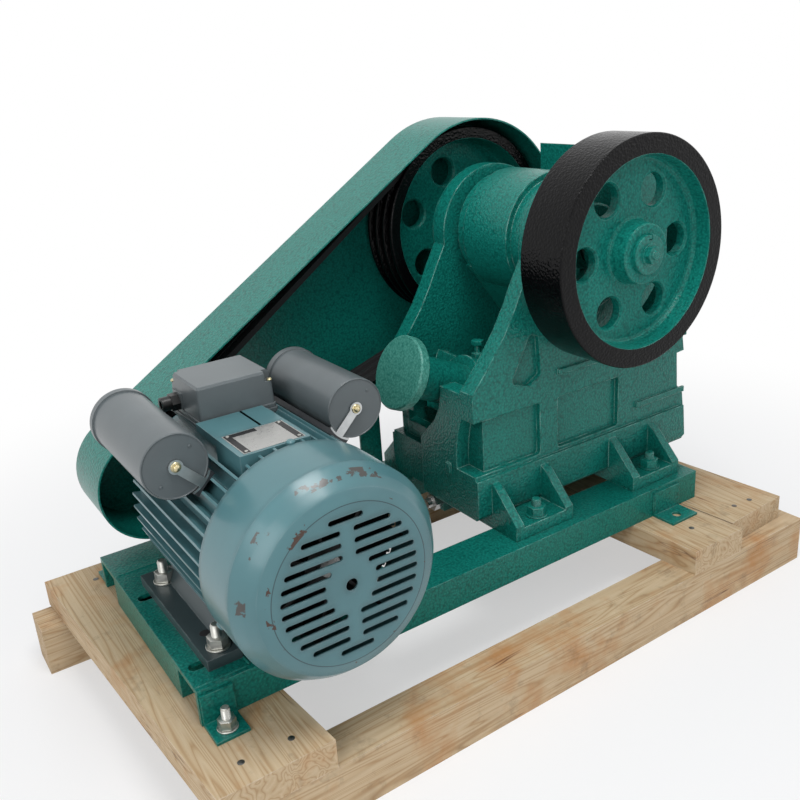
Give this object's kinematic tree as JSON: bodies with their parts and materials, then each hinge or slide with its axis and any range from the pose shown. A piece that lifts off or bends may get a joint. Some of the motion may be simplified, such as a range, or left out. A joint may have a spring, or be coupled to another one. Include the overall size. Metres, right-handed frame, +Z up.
{
  "type": "laboratory jaw crusher",
  "caption": "Small belt-driven jaw crusher with flywheel, guarded belt drive and finned motor on a channel frame, standing on a timber shipping skid.",
  "frame": {"origin": "centre of the bounding box at floor level", "axes": "+X from the motor toward the crusher's feed side, +Y from the flywheel side toward the belt guard, +Z up"},
  "size_m": [0.8267, 0.4278, 0.5513],
  "materials": {
    "green": "hammered green paint",
    "green_light": "hammered green paint",
    "motor_blue": "glossy blue grey paint",
    "foot_grey": "satin dark grey paint",
    "pine": "rough sawn",
    "manganese_steel": "as cast",
    "machined_steel": "machined",
    "zinc": "zinc plated",
    "grey_plastic": "satin",
    "black_plastic": "matte",
    "black_rubber": "matte",
    "black_paint": "gloss"
  },
  "bodies": {
    "machine": {"adjuster_sleeve": "green", "anchor_tab_far_left": "green", "anchor_tab_far_right": "green", "anchor_tab_near_left": "green", "anchor_tab_near_right": "green", "bearing_cap_far": "green", "bearing_cap_near": "green", "bearing_far": "machined_steel", "bearing_near": "machined_steel", "cable_gland": "black_plastic", "capacitor_bracket_left": "zinc", "capacitor_bracket_right": "zinc", "capacitor_left": "grey_plastic", "capacitor_right": "grey_plastic", "cheek_liner_far": "manganese_steel", "cheek_liner_near": "manganese_steel", "crusher_body": "green", "fan_cover": "motor_blue", "feed_hopper": "green", "fixed_jaw_plate": "manganese_steel", "frame_channel_far": "green", "frame_channel_near": "green", "frame_end_bar": "green", "guard_bracket_left": "green", "guard_bracket_right": "green", "guard_plate": "green", "guard_rim": "green", "motor_end_shield": "motor_blue", "motor_foot_left": "foot_grey", "motor_foot_right": "foot_grey", "motor_housing": "motor_blue", "motor_rail_left": "green", "motor_rail_right": "green", "skid_beam_back": "pine", "skid_beam_front": "pine", "skid_plank_left": "pine", "skid_plank_right_inner": "pine", "skid_plank_right_outer": "pine", "tension_rod": "machined_steel", "tension_spring": "machined_steel", "terminal_box": "grey_plastic", "terminal_box_lid": "grey_plastic", "toggle_seat": "manganese_steel", "v_belt_1": "black_rubber", "v_belt_2": "black_rubber", "v_belt_3": "black_rubber"},
    "rotor": {"eccentric_shaft": "machined_steel", "flywheel": "green", "pulley": "green"},
    "swing_jaw_body": {"swing_jaw": "green", "swing_jaw_plate": "manganese_steel", "toggle_plate": "manganese_steel"},
    "motor_rotor": {"motor_shaft": "machined_steel", "motor_pulley": "black_paint", "motor_fan": "black_plastic"},
    "adjuster": {"adjusting_screw": "machined_steel", "adjuster_handwheel": "green_light"}
  },
  "joints": [
    {"name": "rotor_spin", "type": "hinge", "parent": "machine", "child": "rotor", "pos_m": [0.1769, 0.01585, 0.4213], "axis": [0, 1, 0], "continuous": true},
    {"name": "jaw_orbit", "type": "hinge", "parent": "rotor", "child": "swing_jaw_body", "pos_m": [0.1769, 0.01585, 0.4253], "axis": [0, 1, 0], "continuous": true},
    {"name": "motor_spin", "type": "hinge", "parent": "machine", "child": "motor_rotor", "pos_m": [-0.2221, 0.01585, 0.2224], "axis": [0, 1, 0], "continuous": true},
    {"name": "adjuster_turn", "type": "hinge", "parent": "machine", "child": "adjuster", "pos_m": [-0.0209, 0.01585, 0.2989], "axis": [0.915, 0, -0.4035], "range_deg": [-540, 540]}
  ],
  "couplings": [
    {"joint": "jaw_orbit", "follows": "rotor_spin", "ratio": -1},
    {"joint": "motor_spin", "follows": "rotor_spin", "ratio": 2.471}
  ]
}
